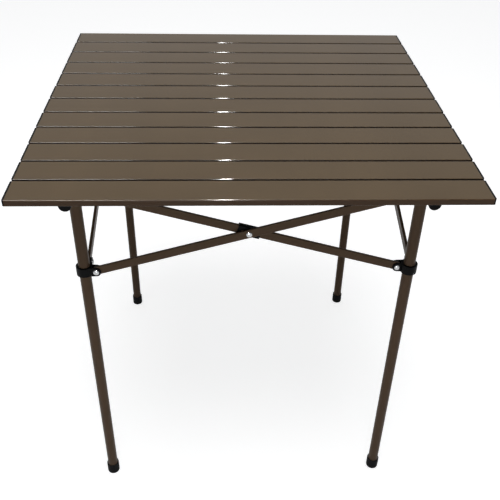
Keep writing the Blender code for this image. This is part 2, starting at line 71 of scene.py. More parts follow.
# Places and sizes read from the frame
SLAT_LOW, SLAT_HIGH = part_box("slat_02")
TOP_HALF = SLAT_HIGH.x
TOP_HEIGHT = SLAT_HIGH.z
SLAT_WIDTH = SLAT_HIGH.y - SLAT_LOW.y
SLAT_THICKNESS = SLAT_HIGH.z - SLAT_LOW.z
JOINT_PLACE = {
    joint["name"]: Vector(joint["pos_m"]) for joint in frame["joints"] if "pos_m" in joint
}
UPPER_PIVOT = JOINT_PLACE["frame_fold"].z
LOWER_PIVOT = JOINT_PLACE["collar_rear_left_pin"].z
MIDDLE_PIVOT = (UPPER_PIVOT + LOWER_PIVOT) / 2
LEG_LOW, LEG_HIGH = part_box("leg_front_right")
HALF_SPACING = (LEG_LOW.x + LEG_HIGH.x) / 2
RAIL_LOW, RAIL_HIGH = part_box("rail_right")
RAIL_HEIGHT = (RAIL_LOW.z + RAIL_HIGH.z) / 2
RAIL_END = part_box("rail_cap_rear_right")[1].y

# Sizes of the pieces
SLAT_WALL = 0.0012
SLAT_EASE = 0.0005
SLAT_TOP_RADIUS = 0.0017
SLAT_BOTTOM_RADIUS = 0.001
SLAT_BORE_RADIUS = 0.0006
SLAT_END_SCATTER = 0.0006
SCATTER_SEED = 12
PLUG_FLANGE = 0.003
PLUG_FLANGE_INSET = 0.0001
PLUG_DEPTH = 0.012
PLUG_EDGE = 0.0008
PLUG_CORNER = 0.0024
TUBE_RADIUS = 0.0095
TUBE_WALL = 0.0012
TUBE_EDGE = 0.0003
FOOT_RADIUS = 0.0117
FOOT_HEIGHT = 0.024
FOOT_FLOOR = 0.004
FOOT_EDGE = 0.0024
FOOT_LIP = 0.0005
FOOT_HOLLOW = 0.0004
FOOT_TREAD = 0.0024
FOOT_HOLLOW_SLOPE = 0.0006
RAIL_CAP_HEAD = 0.003
RAIL_CAP_DEPTH = 0.012
RAIL_CAP_EDGE = 0.0018
BAR_HEIGHT = 0.015
BAR_THICKNESS = 0.005
BAR_EDGE = 0.0012
BAR_OFFSET = 0.004
LUG_REACH = 0.020
LUG_WALL = 0.003
LUG_RADIUS = 0.0078
RING_RADIUS = 0.0135
COLLAR_BELOW_PIVOT = 0.008
COLLAR_ABOVE_PIVOT = 0.008
HUB_ROOF = 0.004
HUB_SOCKET_DEPTH = 0.0138
CRADLE_LENGTH = 0.0236
CRADLE_WALL = 0.0021
CRADLE_ABOVE_RAIL_AXIS = 0.0038
MOULDED_EDGE = 0.0006
SLEEVE_LENGTH = 0.038
SLEEVE_HEIGHT = 0.0171
SLEEVE_EDGE = 0.0014
RIVET_RADIUS = 0.0025
RIVET_HEAD_RADIUS = 0.005
RIVET_HEAD_HEIGHT = 0.0027
RIVET_RIM = 0.0005
HOOK_INNER = 0.0068
HOOK_OUTER = 0.014
HOOK_LENGTH = 0.026
HOOK_INSET = 0.040
HOOK_WRAP = 12
CORD_RADIUS = 0.0018
CORD_INSET = 0.028
KNOT_RADIUS = 0.0034
CLEARANCE = 0.0003
CUT_BEYOND = 0.010

# Steps round a full circle, round parts of one and along a cord in a gap
ROUND_STEPS = 48
SMALL_STEPS = 32
CORD_STEPS = 16
HALF_TURN_STEPS = 20
CORNER_STEPS = 6
LIP_STEPS = 3
CORD_BEND_STEPS = 14

# Rounded edges: steps, the angle from which an edge is sharp, and how far a level one may rise
EDGE_SEGMENTS = 3
SHARP_ANGLE = math.radians(40)
LEVEL_WITHIN = 0.0001

# Worked out from the sizes above
TUBE_BORE = TUBE_RADIUS - TUBE_WALL
TUBE_CLEAR = TUBE_RADIUS + CLEARANCE
RIVET_HOLE = RIVET_RADIUS + CLEARANCE
SLOT_WIDTH = BAR_THICKNESS + 2 * CLEARANCE
LUG_WIDTH = SLOT_WIDTH + 2 * LUG_WALL
SLOT_START = LUG_REACH - BAR_HEIGHT / 2 - CLEARANCE
SADDLE_BOTTOM = RAIL_HEIGHT - TUBE_CLEAR
SOCKET_END = SADDLE_BOTTOM - HUB_ROOF
SOCKET_MOUTH = SOCKET_END - HUB_SOCKET_DEPTH
PIVOT_SPAN = 2 * (HALF_SPACING - LUG_REACH)
BAR_PITCH = math.hypot(PIVOT_SPAN, UPPER_PIVOT - LOWER_PIVOT)
BAR_SLOPE = math.atan2(UPPER_PIVOT - LOWER_PIVOT, PIVOT_SPAN)
SLEEVE_WALL = 2 * BAR_OFFSET - BAR_THICKNESS - 2 * CLEARANCE
SLEEVE_WIDTH = SLOT_WIDTH + 2 * SLEEVE_WALL
CORD_X = TOP_HALF - CORD_INSET
SLAT_MIDDLE = TOP_HEIGHT - SLAT_THICKNESS / 2
SLAT_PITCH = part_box("slat_03")[0].y - SLAT_LOW.y
HALF_GAP = (SLAT_PITCH - SLAT_WIDTH) / 2 + SLAT_EASE

# Names of the record's material slots
PAINT = "bronze_painted_aluminium"
PLASTIC = "black_plastic"
RUBBER = "black_rubber"
STEEL = "bright_rivet_metal"
ELASTIC = "black_elastic_cord"

# Camera, from a pinhole fitted to the photograph
CAMERA_PLACE = Vector((-0.0455, -1.1943, 1.2203))
CAMERA_YAW = math.radians(2.946)
CAMERA_PITCH = math.radians(35.662)
CAMERA_ROLL = math.radians(-1.380)
CAMERA_LENS = 50.665
SENSOR_WIDTH = 36.0

# Colours, as sRGB from 0 to 255; the upright faces of the slats carry a painted shade, darker in
# the gaps than on the rim
SLAT_COLOUR = (88, 72, 50)
SLAT_GAP_PAINTED_SHADE = (38, 28, 21)
RIM_PAINTED_SHADE = (76, 56, 39)
FRAME_COLOUR = (95, 77, 61)
PLASTIC_COLOUR = (8, 8, 9)
RUBBER_COLOUR = (11, 11, 12)
DUST_COLOUR = (78, 74, 68)
STEEL_COLOUR = (172, 173, 174)
CORD_COLOUR = (30, 30, 32)
FLECK_COLOUR = (120, 118, 112)

# Shades as shares of a finish's own colour: from one to another, or of the marks on it
PAINT_CLOUDS = (0.94, 1.06)
PAINT_PEARL = 1.5
PAINT_SCUFF = 1.7
PLASTIC_FLOW = (0.8, 1.25)
PLASTIC_BLOOM = 2.2
RUBBER_GRAIN = (0.8, 1.3)
STEEL_SPOTS = (1.0, 0.75)
CORD_WEAVE = (0.5, 1.4)

# How far the marks cover the colour at most, and the height above the floor that dust reaches
PEARL_COVER = 0.35
SCUFF_COVER = 0.22
BLOOM_COVER = 0.5
DUST_COVER = 0.25
FLECK_COVER = 0.7
DUST_HEIGHT = 0.006

# Roughness: from one to another, and what the marks add to it
PLASTIC_ROUGHNESS = (0.36, 0.48)
BLOOM_ROUGHNESS = 0.2
RUBBER_ROUGHNESS = (0.58, 0.78)
STEEL_ROUGHNESS = (0.14, 0.22)
SPOT_ROUGHNESS = 0.10
CORD_ROUGHNESS = (0.9, 0.7)

# Bumps: strength and depth
PEEL_BUMP = (0.06, 0.00008)
DRAWN_BUMP = (0.02, 0.00006)
PLASTIC_BUMP = (0.25, 0.00006)
FLOW_BUMP = (0.1, 0.0001)
RUBBER_BUMP = (0.35, 0.00012)
STEEL_BUMP = (0.12, 0.00003)
CORD_BUMP = (0.6, 0.0002)

# How level a slat's face is, 0 upright and 1 level: where the painted shade of its upright faces
# gives way to its own colour, and where it turns more satin and by how much
PAINTED_SHADE_FADE = (0.65, 0.94)
SATIN_FADE = (0.93, 0.99)
SATIN_ROUGHNESS = 0.22

# Most values of a noise lie between these
NOISE_SPAN = (0.3, 0.7)

# Floor: half its side, share of light that it throws back at the object, colour and glow to the eye
FLOOR_HALF = 9.0
FLOOR_BOUNCE = 0.25
FLOOR_COLOUR = 0.60
FLOOR_GLOW = 0.74
FLOOR_ROUGHNESS = 0.9
FLOOR_SPECULAR = 0.1

# World: level of light at each height of the ray, its tint, and how it fades towards the camera's
# side and to the left and right; the last is the colour that the eye sees instead
WORLD_STOPS = ((0.0, 0.70), (0.30, 0.66), (0.55, 0.42), (1.0, 0.30))
WORLD_TINT = (0.97, 1.0, 1.04)
WORLD_FRONT = 0.18
WORLD_FRONT_FROM = -0.5
WORLD_FRONT_TO = 0.2
WORLD_SIDE = 0.35
WORLD_SIDE_FROM = 0.3
WORLD_SIDE_TO = 0.9
WORLD_SEEN = (0.80, 0.82, 0.85)


# Outlines, as lists of pairs

def arc(centre, radius, start, end, steps):
    """Points round an arc, with its angles in degrees."""
    points = []
    for i in range(steps + 1):
        angle = math.radians(start + (end - start) * i / steps)
        points.append((centre[0] + radius * math.cos(angle), centre[1] + radius * math.sin(angle)))
    return points


def circle(centre, radius, steps):
    return arc(centre, radius, 0, 360, steps)[:-1]


def rounded_box(half_wide, half_high, top_radius, bottom_radius):
    """Rectangle about the origin with its own radius for the upper and the lower corners."""
    t, b, steps = top_radius, bottom_radius, CORNER_STEPS
    outline = arc((-half_wide + t, half_high - t), t, 180, 90, steps)
    outline += arc((half_wide - t, half_high - t), t, 90, 0, steps)
    outline += arc((half_wide - b, -half_high + b), b, 0, -90, steps)
    outline += arc((-half_wide + b, -half_high + b), b, -90, -180, steps)
    return outline


# Solids, each added to a bmesh

def axis_point(axis, u, v, w):
    """Point from an outline's pair and its place along an axis; the pair is the other two axes."""
    return {"X": (w, u, v), "Y": (u, w, v), "Z": (u, v, w)}[axis]


def add_prism(bm, outline, low, high, axis):
    ends = [[bm.verts.new(axis_point(axis, u, v, w)) for u, v in outline] for w in (low, high)]
    faces = [bm.faces.new(ends[0]), bm.faces.new(ends[1])]
    for i in range(len(outline)):
        j = (i + 1) % len(outline)
        faces.append(bm.faces.new((ends[0][i], ends[0][j], ends[1][j], ends[1][i])))
    bmesh.ops.recalc_face_normals(bm, faces=faces)


def add_box(bm, low, high):
    outline = [(low[0], low[1]), (high[0], low[1]), (high[0], high[1]), (low[0], high[1])]
    add_prism(bm, outline, low[2], high[2], "Z")


def add_cylinder(bm, radius, low, high, axis="Z", centre=(0.0, 0.0), steps=ROUND_STEPS):
    add_prism(bm, circle(centre, radius, steps), low, high, axis)


def add_turning(bm, profile, steps):
    """Solid of revolution about Z. The profile's (radius, z) points are joined in a ring where it
    starts off the axis, and otherwise start and end on the axis."""
    closed = profile[0][0] > 0.0
    rings = []
    for r, z in profile:
        if r == 0.0:
            rings.append([bm.verts.new((0.0, 0.0, z))] * steps)
        else:
            rings.append([bm.verts.new((u, v, z)) for u, v in circle((0.0, 0.0), r, steps)])
    pairs = list(zip(rings, rings[1:]))
    if closed:
        pairs.append((rings[-1], rings[0]))
    faces = []
    for a, b in pairs:
        for i in range(steps):
            j = (i + 1) % steps
            corners = list(dict.fromkeys((a[i], a[j], b[j], b[i])))
            if len(corners) > 2:
                faces.append(bm.faces.new(corners))
    bmesh.ops.recalc_face_normals(bm, faces=faces)


def built(fill, *arguments):
    """New bmesh filled by one function."""
    bm = bmesh.new()
    fill(bm, *arguments)
    return bm


def turned_along_y(profile, steps):
    """New solid of revolution about Y."""
    bm = built(add_turning, profile, steps)
    bm.transform(Matrix.Rotation(math.radians(-90), 4, "X"))
    return bm


def to_mesh(name, bm):
    mesh = bpy.data.meshes.new(name)
    bm.to_mesh(mesh)
    bm.free()
    mesh.shade_smooth()
    return mesh


def new_object(name, data):
    """New object in the scene."""
    thing = bpy.data.objects.new(name, data)
    bpy.context.scene.collection.objects.link(thing)
    return thing


def evaluated_mesh(thing, name):
    """New mesh with an object's modifiers applied."""
    evaluated = thing.evaluated_get(bpy.context.evaluated_depsgraph_get())
    mesh = bpy.data.meshes.new_from_object(evaluated)
    mesh.name = name
    return mesh


def finished(name, body, steps=(), edge=0.0):
    """Mesh of a body after Boolean steps, each an operation and a bmesh, with rounded edges and
    with normals that keep its flat faces flat."""
    base = new_object(name, to_mesh(name, body))
    helpers = []
    for operation, bm in steps:
        helper = new_object(name + "_tool", to_mesh(name + "_tool", bm))
        boolean = base.modifiers.new(operation.lower(), "BOOLEAN")
        boolean.operation = operation
        boolean.solver = "EXACT"
        boolean.object = helper
        helpers.append(helper)
    if edge > 0.0:
        bevel = base.modifiers.new("edge", "BEVEL")
        bevel.width = edge
        bevel.segments = EDGE_SEGMENTS
        bevel.limit_method = "ANGLE"
        bevel.angle_limit = SHARP_ANGLE
    mesh = evaluated_mesh(base, name)
    mesh.set_sharp_from_angle(angle=SHARP_ANGLE)
    base.modifiers.clear()
    base.data = mesh
    base.modifiers.new("normals", "WEIGHTED_NORMAL").keep_sharp = True
    mesh = evaluated_mesh(base, name)
    for thing in [base] + helpers:
        bpy.data.objects.remove(thing, do_unlink=True)
    return mesh


# Node materials

def linear(colour):
    """Linear RGB of an sRGB colour given as 0 to 255."""
    values = [c / 255 for c in colour]
    return tuple(v / 12.92 if v <= 0.04045 else ((v + 0.055) / 1.055) ** 2.4 for v in values)


class Nodes:
    """A tree of shader nodes and short ways to add to it."""

    def __init__(self, tree):
        self.tree = tree

    def add(self, kind):
        return self.tree.nodes.new("ShaderNode" + kind)

    def link(self, source, socket):
        self.tree.links.new(source, socket)

    def split(self, vector):
        """The X, Y and Z of a vector."""
        node = self.add("SeparateXYZ")
        self.link(vector, node.inputs["Vector"])
        return node.outputs["X"], node.outputs["Y"], node.outputs["Z"]

    def mapped(self, source, low, high, from_low=0.0, from_high=1.0):
        """Low to high as a value goes from from_low to from_high."""
        node = self.add("MapRange")
        node.inputs["From Min"].default_value = from_low
        node.inputs["From Max"].default_value = from_high
        node.inputs["To Min"].default_value = low
        node.inputs["To Max"].default_value = high
        self.link(source, node.inputs["Value"])
        return node.outputs["Result"]

    def share(self, source, start, end):
        """0 to 1 as a value goes from start to end."""
        return self.mapped(source, 0.0, 1.0, start, end)

    def combined(self, operation, *sources):
        node = self.add("Math")
        node.operation = operation
        for source, socket in zip(sources, node.inputs):
            self.link(source, socket)
        return node.outputs["Value"]

    def mixed(self, factor, first, second):
        """Colour between two, each an RGB triple or a socket."""
        node = self.add("Mix")
        node.data_type = "RGBA"
        self.link(factor, node.inputs["Factor"])
        for value, key in ((first, "A_Color"), (second, "B_Color")):
            socket = next(s for s in node.inputs if s.identifier == key)
            if isinstance(value, tuple):
                socket.default_value = (*value, 1.0)
            else:
                self.link(value, socket)
        return next(s for s in node.outputs if s.identifier == "Result_Color")

    def seen_by_eye(self):
        """1 for rays that reach the eye straight, mirrored or through glass, and 0 for the rest."""
        path = self.add("LightPath").outputs
        total = self.combined("MAXIMUM", path["Is Camera Ray"], path["Is Glossy Ray"])
        return self.combined("MAXIMUM", total, path["Is Transmission Ray"])


class Recipe(Nodes):
    """A Principled material and short ways to vary it, in metres of the object."""

    def __init__(self, name, colour, specular=None, metallic=0.0):
        self.material = bpy.data.materials.new(name)
        self.material.use_nodes = True
        super().__init__(self.material.node_tree)
        self.shader = self.tree.nodes["Principled BSDF"]
        self.shader.inputs["Metallic"].default_value = metallic
        if specular is not None:
            self.shader.inputs["Specular IOR Level"].default_value = specular
        self.colour = linear(colour)
        coordinates = self.add("TexCoord").outputs
        self.place = coordinates["Object"]
        self.facing = coordinates["Normal"]

    def stretched(self, scale):
        """Object coordinates scaled along each axis."""
        mapping = self.add("Mapping")
        mapping.inputs["Scale"].default_value = scale
        self.link(self.place, mapping.inputs["Vector"])
        return mapping.outputs["Vector"]

    def noise(self, per_metre, detail=3.0, roughness=0.5, stretch=(1.0, 1.0, 1.0)):
        node = self.add("TexNoise")
        node.inputs["Scale"].default_value = per_metre
        node.inputs["Detail"].default_value = detail
        node.inputs["Roughness"].default_value = roughness
        self.link(self.stretched(stretch), node.inputs["Vector"])
        return node.outputs["Fac"]

    def level(self, start, end):
        """0 to 1 as the piece's faces go from upright to level, above and below."""
        return self.share(self.combined("ABSOLUTE", self.split(self.facing)[2]), start, end)

    def shade(self, share):
        """The recipe's colour made lighter or darker by a share."""
        return tuple(min(1.0, c * share) for c in self.colour)

    def varied(self, factor, first, second):
        """The recipe's colour between two of its shades."""
        return self.mixed(factor, self.shade(first), self.shade(second))

    def bump(self, *heights):
        """Chained bumps, each a height socket, a strength and a depth in metres."""
        normal = None
        for height, strength, depth in heights:
            node = self.add("Bump")
            node.inputs["Strength"].default_value = strength
            node.inputs["Distance"].default_value = depth
            self.link(height, node.inputs["Height"])
            if normal is not None:
                self.link(normal, node.inputs["Normal"])
            normal = node.outputs["Normal"]
        self.link(normal, self.shader.inputs["Normal"])

    def finish(self, colour, roughness):
        self.link(colour, self.shader.inputs["Base Color"])
        self.link(roughness, self.shader.inputs["Roughness"])
        return self.material


def paint_material(name, colour, gloss, spread, scuffing, specular, side=None):
    """Bronze-brown enamel on aluminium: cloudy tone, fine pearl flakes, drawn lines, orange peel
    and a few light scuffs that are rougher and a little paler. A side colour is a painted shade
    that takes the place of the paint's own colour on upright faces, and the level ones are then
    more satin."""
    recipe = Recipe(name, colour, specular)
    cloud = recipe.noise(per_metre=9, detail=2.0)
    flake = recipe.noise(per_metre=2600, detail=1.0)
    drawn = recipe.noise(per_metre=55, roughness=0.6, stretch=(0.06, 9.0, 9.0))
    scuff = recipe.noise(per_metre=42, detail=6.0, roughness=0.72, stretch=(0.35, 1.6, 1.6))
    peel = recipe.noise(per_metre=800, detail=2.0)
    worn = recipe.share(scuff, start=0.66, end=0.76)
    pearl = recipe.mapped(flake, 0.0, PEARL_COVER, from_low=0.55, from_high=0.8)
    tone = recipe.varied(recipe.share(cloud, *NOISE_SPAN), *PAINT_CLOUDS)
    tone = recipe.mixed(pearl, tone, recipe.shade(PAINT_PEARL))
    tone = recipe.mixed(recipe.mapped(worn, 0.0, SCUFF_COVER), tone, recipe.shade(PAINT_SCUFF))
    rough = recipe.mapped(drawn, gloss - spread, gloss + spread, *NOISE_SPAN)
    rough = recipe.combined("ADD", rough, recipe.mapped(worn, 0.0, scuffing))
    # Painted shade: upright faces take the darker side colour instead of the paint's own colour
    if side:
        tone = recipe.mixed(recipe.level(*PAINTED_SHADE_FADE), linear(side), tone)
        satin = recipe.mapped(recipe.level(*SATIN_FADE), 0.0, SATIN_ROUGHNESS)
        rough = recipe.combined("ADD", rough, satin)
    recipe.bump((peel, *PEEL_BUMP), (drawn, *DRAWN_BUMP))
    return recipe.finish(tone, rough)


def plastic_material():
    """Black moulded nylon: spark-eroded grain, faint flow marks and a dry bloom."""
    recipe = Recipe("moulded_black_plastic", PLASTIC_COLOUR, specular=0.05)
    grain = recipe.noise(per_metre=3200, detail=2.0)
    flow = recipe.noise(per_metre=60, roughness=0.6)
    dry = recipe.noise(per_metre=180, detail=5.0, roughness=0.7)
    bloom = recipe.mapped(dry, 0.0, BLOOM_COVER, from_low=0.55, from_high=0.75)
    tone = recipe.varied(recipe.share(flow, *NOISE_SPAN), *PLASTIC_FLOW)
    tone = recipe.mixed(bloom, tone, recipe.shade(PLASTIC_BLOOM))
    rough = recipe.mapped(flow, *PLASTIC_ROUGHNESS)
    rough = recipe.combined("ADD", rough, recipe.mapped(bloom, 0.0, BLOOM_ROUGHNESS))
    recipe.bump((grain, *PLASTIC_BUMP), (flow, *FLOW_BUMP))
    return recipe.finish(tone, rough)


def rubber_material():
    """Matt black rubber: grainy skin, dusty towards the floor."""
    recipe = Recipe("matt_black_rubber", RUBBER_COLOUR, specular=0.06)
    grain = recipe.noise(per_metre=1500, detail=4.0, roughness=0.65)
    smear = recipe.noise(per_metre=140, detail=5.0, roughness=0.7)
    height = recipe.split(recipe.place)[2]
    low = recipe.mapped(height, DUST_COVER, 0.0, from_low=0.0, from_high=DUST_HEIGHT)
    dust = recipe.combined("MULTIPLY", low, recipe.share(smear, start=0.4, end=0.7))
    tone = recipe.varied(recipe.share(grain, *NOISE_SPAN), *RUBBER_GRAIN)
    tone = recipe.mixed(dust, tone, linear(DUST_COLOUR))
    recipe.bump((grain, *RUBBER_BUMP))
    return recipe.finish(tone, recipe.mapped(smear, *RUBBER_ROUGHNESS))


def steel_material():
    """Bright plated rivet: faint turned lines and small dull spots."""
    recipe = Recipe("bright_plated_steel", STEEL_COLOUR, metallic=1.0)
    dull = recipe.noise(per_metre=700, detail=4.0, roughness=0.7)
    line = recipe.noise(per_metre=1800, detail=2.0, stretch=(1.0, 1.0, 0.25))
    spot = recipe.share(dull, start=0.5, end=0.75)
    rough = recipe.mapped(line, *STEEL_ROUGHNESS)
    rough = recipe.combined("ADD", rough, recipe.mapped(spot, 0.0, SPOT_ROUGHNESS))
    recipe.bump((line, *STEEL_BUMP))
    return recipe.finish(recipe.varied(spot, *STEEL_SPOTS), rough)


def elastic_material():
    """Braided cover of an elastic cord: two crossed sets of yarns along Y, with pale flecks."""
    recipe = Recipe("braided_black_cord", CORD_COLOUR)
    yarns = []
    for lean in (-1.0, 1.0):
        node = recipe.add("TexWave")
        node.bands_direction = "DIAGONAL"
        node.inputs["Scale"].default_value = 160
        node.inputs["Distortion"].default_value = 0.4
        recipe.link(recipe.stretched((lean, 1.0, lean)), node.inputs["Vector"])
        yarns.append(node.outputs["Fac"])
    weave = recipe.combined("MAXIMUM", *yarns)
    pale = recipe.noise(per_metre=420, detail=1.0)
    fleck = recipe.mapped(pale, 0.0, FLECK_COVER, from_low=0.64, from_high=0.70)
    tone = recipe.mixed(fleck, recipe.varied(weave, *CORD_WEAVE), linear(FLECK_COLOUR))
    recipe.bump((weave, *CORD_BUMP))
    return recipe.finish(tone, recipe.mapped(weave, *CORD_ROUGHNESS))


# Finishes: slot of the record and material
SLAT_PAINT = {"colour": SLAT_COLOUR, "spread": 0.008, "scuffing": 0.03, "specular": 0.12}
# Two copies of one paint, each with its own painted shade on upright faces: darker for the walls in
# the gaps, lighter for the rim's outer faces, whose copy is also rougher
SLAT_ENAMEL = paint_material("gloss_bronze_enamel", gloss=0.07, side=SLAT_GAP_PAINTED_SHADE, **SLAT_PAINT)
RIM_ENAMEL = paint_material("rim_bronze_enamel", gloss=0.12, side=RIM_PAINTED_SHADE, **SLAT_PAINT)
FRAME_ENAMEL = paint_material(
    "satin_bronze_enamel", FRAME_COLOUR, gloss=0.34, spread=0.05, scuffing=0.16, specular=0.06
)
MATERIALS = {
    "slat": (PAINT, SLAT_ENAMEL),
    "frame": (PAINT, FRAME_ENAMEL),
    "plastic": (PLASTIC, plastic_material()),
    "rubber": (RUBBER, rubber_material()),
    "steel": (STEEL, steel_material()),
    "elastic": (ELASTIC, elastic_material()),
}


# Placing

def placed(name, mesh, finish, turn, position, body, *nodes):
    """Add one piece with its finish, riding on a body and standing for CAD nodes."""
    slot, material = MATERIALS[finish]
    if not mesh.materials:
        mesh.materials.append(material)
    thing = new_object(name, mesh)
    thing.matrix_world = Matrix.Translation(Vector(position)) @ turn.to_4x4()
    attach(thing, body)
    if nodes:
        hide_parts(*nodes)


def with_rim(mesh, way):
    """A first or last slat's mesh with the rim's enamel where it faces out, to +Y or -Y. There the
    upright faces get the rim's lighter painted shade instead of the darker painted shade of the
    gaps.
    """
    mesh.materials.append(SLAT_ENAMEL)
    mesh.materials.append(RIM_ENAMEL)
    for polygon in mesh.polygons:
        if polygon.normal.y * way > 0.0 and polygon.center.y * way > 0.0:
            polygon.material_index = 1
    return mesh


def quarter(k):
    return Matrix.Rotation(math.radians(90 * k), 3, "Z")


def corner_point(k, x, y, z):
    """World place of a point given from corner k's leg axis, with X along side k."""
    corner = Vector((-HALF_SPACING, -HALF_SPACING, 0.0))
    return quarter(k) @ (corner + Vector((x, y, 0.0))) + Vector((0.0, 0.0, z))


def next_pivot(k, plane, height):
    """Pin of the side that starts at corner k, in the plane of its inner or outer bar."""
    return corner_point(k, LUG_REACH, plane * BAR_OFFSET, height)


def previous_pivot(k, plane, height):
    """Pin of the side that ends at corner k."""
    return corner_point(k, plane * BAR_OFFSET, LUG_REACH, height)


# Meshes of the frame

def tube_mesh(name, low, high):
    """Tube along Z with eased ends."""
    e = TUBE_EDGE
    ring = [(TUBE_BORE, low), (TUBE_RADIUS - e, low), (TUBE_RADIUS, low + e)]
    ring += [(TUBE_RADIUS, high - e), (TUBE_RADIUS - e, high), (TUBE_BORE, high)]
    return finished(name, built(add_turning, ring, ROUND_STEPS))


def foot_mesh():
    """Rubber cup with a rounded sole edge, a soft rim and a shallow hollow under the sole."""
    sole = FOOT_RADIUS - FOOT_EDGE
    tread = sole - FOOT_TREAD
    profile = [(0.0, FOOT_HOLLOW), (tread - FOOT_HOLLOW_SLOPE, FOOT_HOLLOW), (tread, 0.0)]
    profile += arc((sole, FOOT_EDGE), FOOT_EDGE, -90, 0, CORNER_STEPS)
    rim = FOOT_HEIGHT - FOOT_LIP
    profile += arc((FOOT_RADIUS - FOOT_LIP, rim), FOOT_LIP, 0, 90, LIP_STEPS)
    profile += [(TUBE_CLEAR, FOOT_HEIGHT), (TUBE_CLEAR, FOOT_FLOOR), (0.0, FOOT_FLOOR)]
    return finished("foot", built(add_turning, profile, ROUND_STEPS))


def lug_outline(ring_low, ring_high):
    """Side view of one lug from the leg axis out past its pin, which is at height 0."""
    lower = min(0.0, ring_low + LUG_RADIUS)
    upper = max(0.0, ring_high - LUG_RADIUS)
    outline = [(0.0, lower - LUG_RADIUS), (RING_RADIUS, lower - LUG_RADIUS)]
    outline += arc((LUG_REACH, 0.0), LUG_RADIUS, -90, 90, HALF_TURN_STEPS)
    outline += [(RING_RADIUS, upper + LUG_RADIUS), (0.0, upper + LUG_RADIUS)]
    return outline


def add_lug(bm, axis, plane, outline):
    """Solid lug that points along the outline's own axis, centred on its bar's plane."""
    middle = plane * BAR_OFFSET
    add_prism(bm, outline, middle - LUG_WIDTH / 2, middle + LUG_WIDTH / 2, axis)


def add_slots(bm, next_plane, previous_plane, tall):
    """Slots that the two bars' ends turn in."""
    reach = LUG_REACH + LUG_RADIUS + CUT_BEYOND
    y = next_plane * BAR_OFFSET
    add_box(bm, (SLOT_START, y - SLOT_WIDTH / 2, -tall), (reach, y + SLOT_WIDTH / 2, tall))
    x = previous_plane * BAR_OFFSET
    add_box(bm, (x - SLOT_WIDTH / 2, SLOT_START, -tall), (x + SLOT_WIDTH / 2, reach, tall))


def add_pin_holes(bm, next_plane, previous_plane):
    for axis, plane in (("Y", next_plane), ("X", previous_plane)):
        middle = plane * BAR_OFFSET
        low, high = middle - LUG_WIDTH, middle + LUG_WIDTH
        add_cylinder(bm, RIVET_HOLE, low, high, axis, (LUG_REACH, 0.0), SMALL_STEPS)


def collar_mesh():
    """Sliding collar about its pins' height: outer bar along +X, inner bar along +Y."""
    low, high = -COLLAR_BELOW_PIVOT, COLLAR_ABOVE_PIVOT
    outline = lug_outline(low, high)
    tall = COLLAR_ABOVE_PIVOT + CUT_BEYOND
    steps = [
        ("UNION", built(add_lug, "Y", OUTER, outline)),
        ("UNION", built(add_lug, "X", INNER, outline)),
        ("DIFFERENCE", built(add_cylinder, TUBE_CLEAR, low - CUT_BEYOND, high + CUT_BEYOND)),
        ("DIFFERENCE", built(add_slots, OUTER, INNER, tall)),
        ("DIFFERENCE", built(add_pin_holes, OUTER, INNER)),
    ]
    return finished("collar", built(add_cylinder, RING_RADIUS, low, high), steps, MOULDED_EDGE)


def hub_mesh(rail_axis):
    """Fixed hub about its pins' height: leg socket below, cradle for the rail above."""
    mouth = SOCKET_MOUTH - UPPER_PIVOT
    roof = SOCKET_END - UPPER_PIVOT
    saddle = SADDLE_BOTTOM - UPPER_PIVOT
    rail = RAIL_HEIGHT - UPPER_PIVOT
    top = rail + CRADLE_ABOVE_RAIL_AXIS
    outline = lug_outline(mouth, saddle)
    half_wide = TUBE_CLEAR + CRADLE_WALL
    half_long = CRADLE_LENGTH / 2
    across, along = (half_wide, half_long) if rail_axis == "Y" else (half_long, half_wide)
    above = top + CUT_BEYOND
    channel = arc((0.0, rail), TUBE_CLEAR, 180, 360, ROUND_STEPS // 2)
    channel = [(channel[0][0], above)] + channel + [(channel[-1][0], above)]
    steps = [
        ("UNION", built(add_lug, "Y", INNER, outline)),
        ("UNION", built(add_lug, "X", OUTER, outline)),
        ("UNION", built(add_box, (-across, -along, roof), (across, along, top))),
        ("DIFFERENCE", built(add_cylinder, TUBE_CLEAR, mouth - CUT_BEYOND, roof)),
        ("DIFFERENCE", built(add_prism, channel, -CRADLE_LENGTH, CRADLE_LENGTH, rail_axis)),
        ("DIFFERENCE", built(add_slots, INNER, OUTER, saddle + CUT_BEYOND)),
        ("DIFFERENCE", built(add_pin_holes, INNER, OUTER)),
    ]
    return finished("hub", built(add_cylinder, RING_RADIUS, mouth, saddle), steps, MOULDED_EDGE)


def bar_mesh():
    """Flat bar along X about its middle hole, with round ends and eased edges."""
    radius = BAR_HEIGHT / 2
    outline = arc((BAR_PITCH / 2, 0.0), radius, -90, 90, HALF_TURN_STEPS)
    outline += arc((-BAR_PITCH / 2, 0.0), radius, 90, 270, HALF_TURN_STEPS)
    body = built(add_prism, outline, -BAR_THICKNESS / 2, BAR_THICKNESS / 2, "Y")
    rims = [e for e in body.edges if abs(e.verts[0].co.y - e.verts[1].co.y) < LEVEL_WITHIN]
    bmesh.ops.bevel(
        body, geom=rims, offset=BAR_EDGE, segments=EDGE_SEGMENTS, affect="EDGES", profile=0.5
    )
    holes = bmesh.new()
    for x in (-BAR_PITCH / 2, 0.0, BAR_PITCH / 2):
        add_cylinder(holes, RIVET_HOLE, -BAR_THICKNESS, BAR_THICKNESS, "Y", (x, 0.0), SMALL_STEPS)
    return finished("bar", body, [("DIFFERENCE", holes)])


